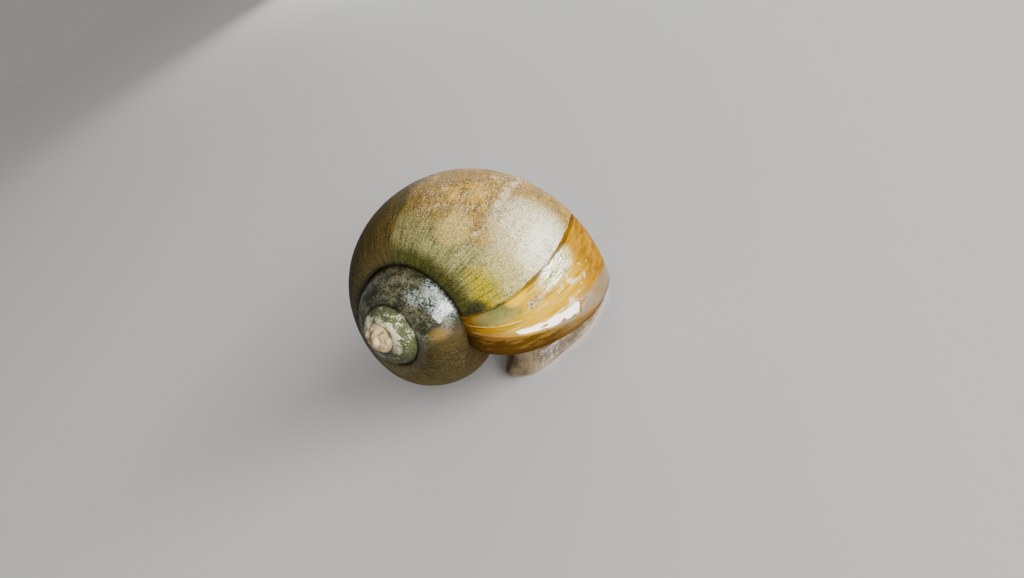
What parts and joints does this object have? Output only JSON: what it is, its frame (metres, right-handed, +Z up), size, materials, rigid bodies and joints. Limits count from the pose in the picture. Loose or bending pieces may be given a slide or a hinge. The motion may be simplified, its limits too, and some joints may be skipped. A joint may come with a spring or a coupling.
{
  "type": "golden apple snail at rest",
  "caption": "Low-spired round snail shell with a deep suture and a thin new lip, over a gathered foot, small head with feelers, siphon and operculum.",
  "frame": {"origin": "on the floor below the middle of the animal's box", "axes": "+Z up, the head points to -Y and the apex of the shell to +Y"},
  "size_m": [0.0534, 0.0556, 0.0406],
  "materials": {
    "worn_apex": "matte, eroded and chalky",
    "old_shell": "satin, scratched, with growth lines",
    "new_shell": "glossy, wet and wrinkled",
    "flesh": "moist, finely mottled skin",
    "operculum": "satin horn with growth rings",
    "eye": "glossy"
  },
  "bodies": {
    "root": {"shell_apex": "worn_apex", "shell_spire_whorl": "old_shell", "shell_body_whorl": "old_shell", "shell_new_growth": "new_shell", "mantle": "flesh", "foot": "flesh", "head": "flesh", "siphon": "flesh", "operculum": "operculum", "tentacle_left_base": "flesh", "tentacle_left_middle": "flesh", "tentacle_left_tip": "flesh", "tentacle_right_base": "flesh", "tentacle_right_middle": "flesh", "tentacle_right_tip": "flesh", "labial_palp_left": "flesh", "labial_palp_right": "flesh", "eye_left": "eye", "eye_right": "eye"}
  },
  "joints": []
}
